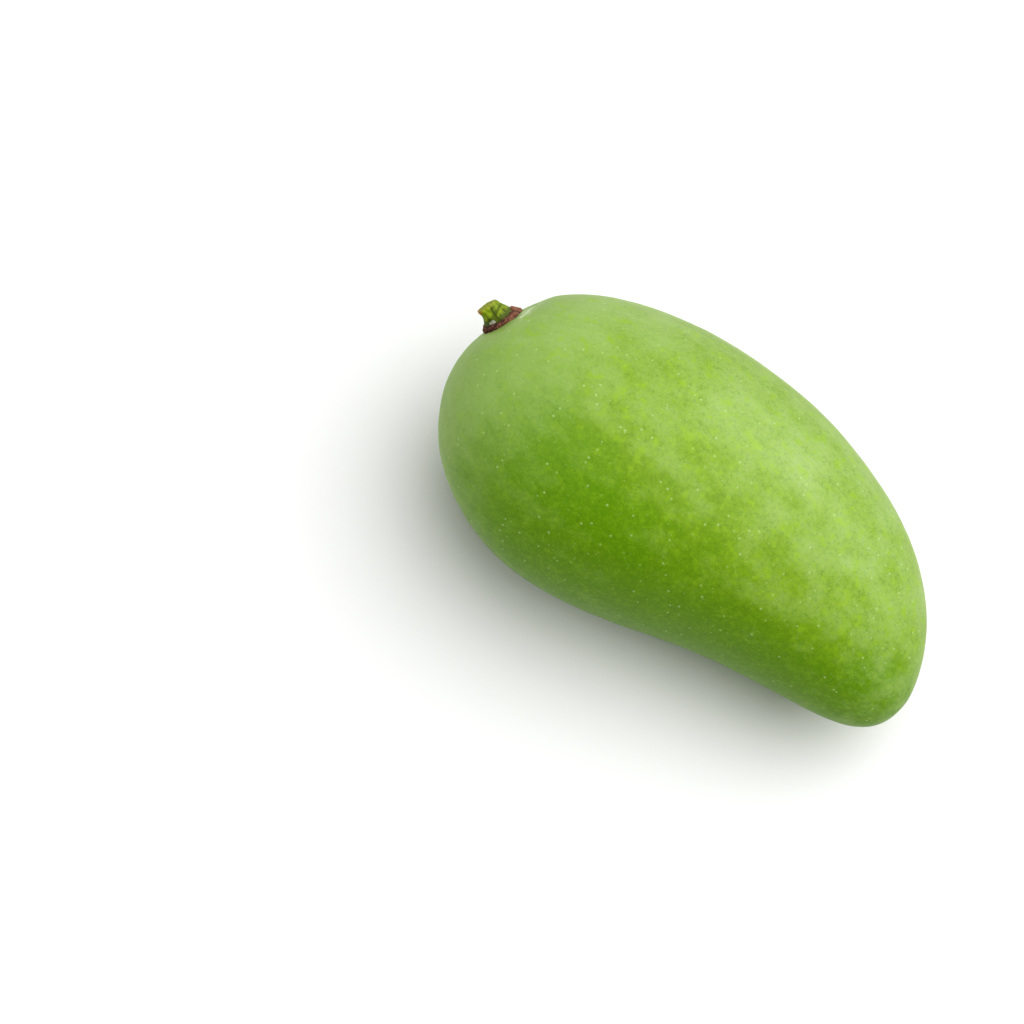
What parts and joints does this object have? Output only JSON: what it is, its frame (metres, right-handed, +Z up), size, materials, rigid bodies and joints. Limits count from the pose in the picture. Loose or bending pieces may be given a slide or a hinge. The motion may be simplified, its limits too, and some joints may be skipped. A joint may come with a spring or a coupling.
{
  "type": "green mango",
  "caption": "Whole green mango lying on its cheek, slim and curved, with a corky collar and a short stub of stem.",
  "frame": {"origin": "middle of the bounding box in X and Y, on the surface that the fruit lies on", "axes": "+X from the stem end to the tip, +Y to the arched back of the fruit, +Z up out of the cheek that it lies on"},
  "size_m": [0.1352, 0.0812, 0.0673],
  "materials": {
    "skin": "satin, waxy, green with pale dots",
    "cork": "rough, dry, reddish brown",
    "stem": "matt, olive green"
  },
  "bodies": {
    "root": {"fruit": "skin", "stem_collar": "cork", "stem_stub": "stem"}
  },
  "joints": []
}
